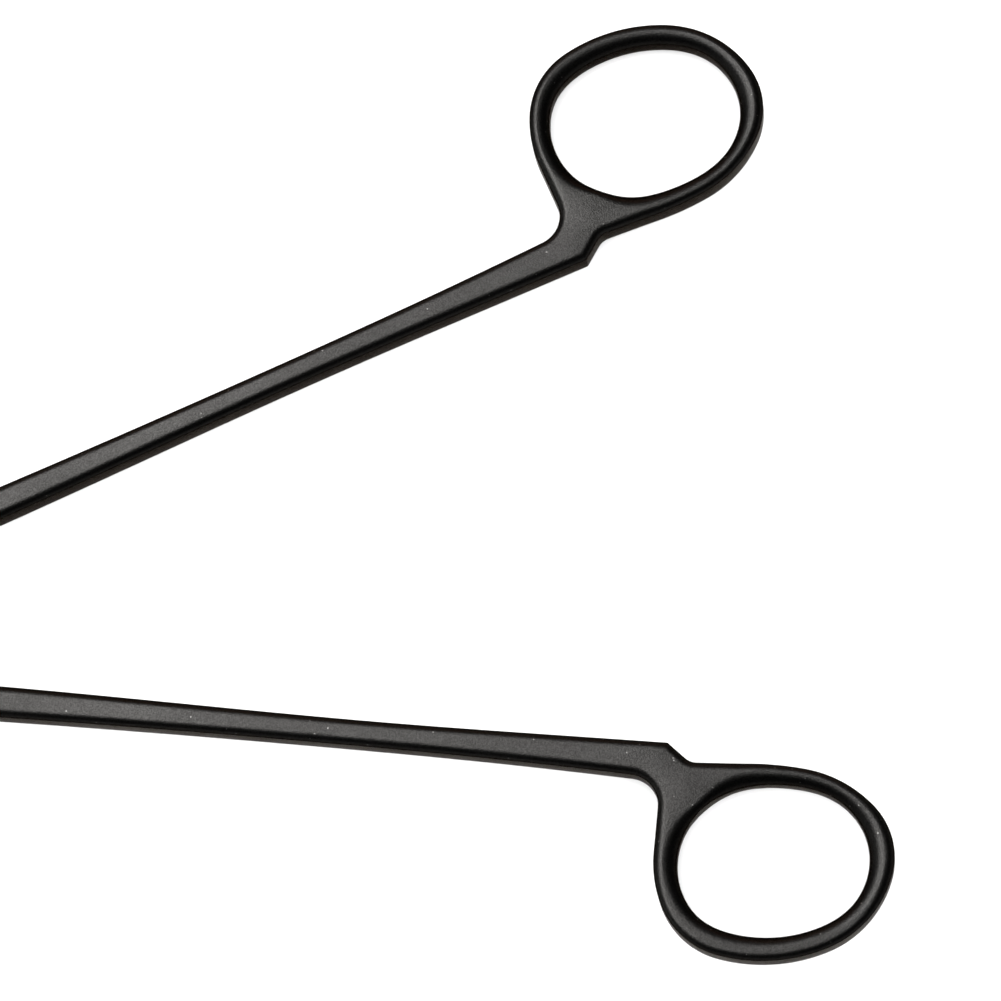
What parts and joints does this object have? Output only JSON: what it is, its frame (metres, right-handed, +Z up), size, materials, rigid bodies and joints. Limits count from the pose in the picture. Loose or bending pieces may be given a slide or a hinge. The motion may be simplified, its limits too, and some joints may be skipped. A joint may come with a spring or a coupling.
{
  "type": "aquascaping tweezers",
  "caption": "Long scissor-action planting tweezers with crossed arms, oval finger rings, closing stops, a slotted pivot screw and slim serrated jaws.",
  "frame": {"origin": "on the pivot axis, in the plane of the underside that the tool lies on, at the flush end of the pivot screw", "axes": "+X from the pivot towards the finger rings along the line that halves the angle of the arms, +Y towards the upper arm's ring, +Z up out of the face that carries the screw head"},
  "size_m": [0.2578, 0.134, 0.0067],
  "materials": {
    "black_coating": "satin black hard coating over fine bead-blasted stainless steel",
    "screw_steel": "turned stainless steel",
    "washer_polymer": "plain low-friction polymer"
  },
  "bodies": {
    "lower": {"lower_arm": "black_coating", "pivot_screw": "screw_steel", "spring_washer": "screw_steel", "lap_washer": "washer_polymer", "lock_nut": "screw_steel"},
    "upper": {"upper_arm": "black_coating"}
  },
  "joints": [
    {"name": "pivot", "type": "hinge", "parent": "lower", "child": "upper", "pos_m": [0, 0, 0.0028], "axis": [0, 0, 1], "range_deg": [-29.4, 45]}
  ]
}
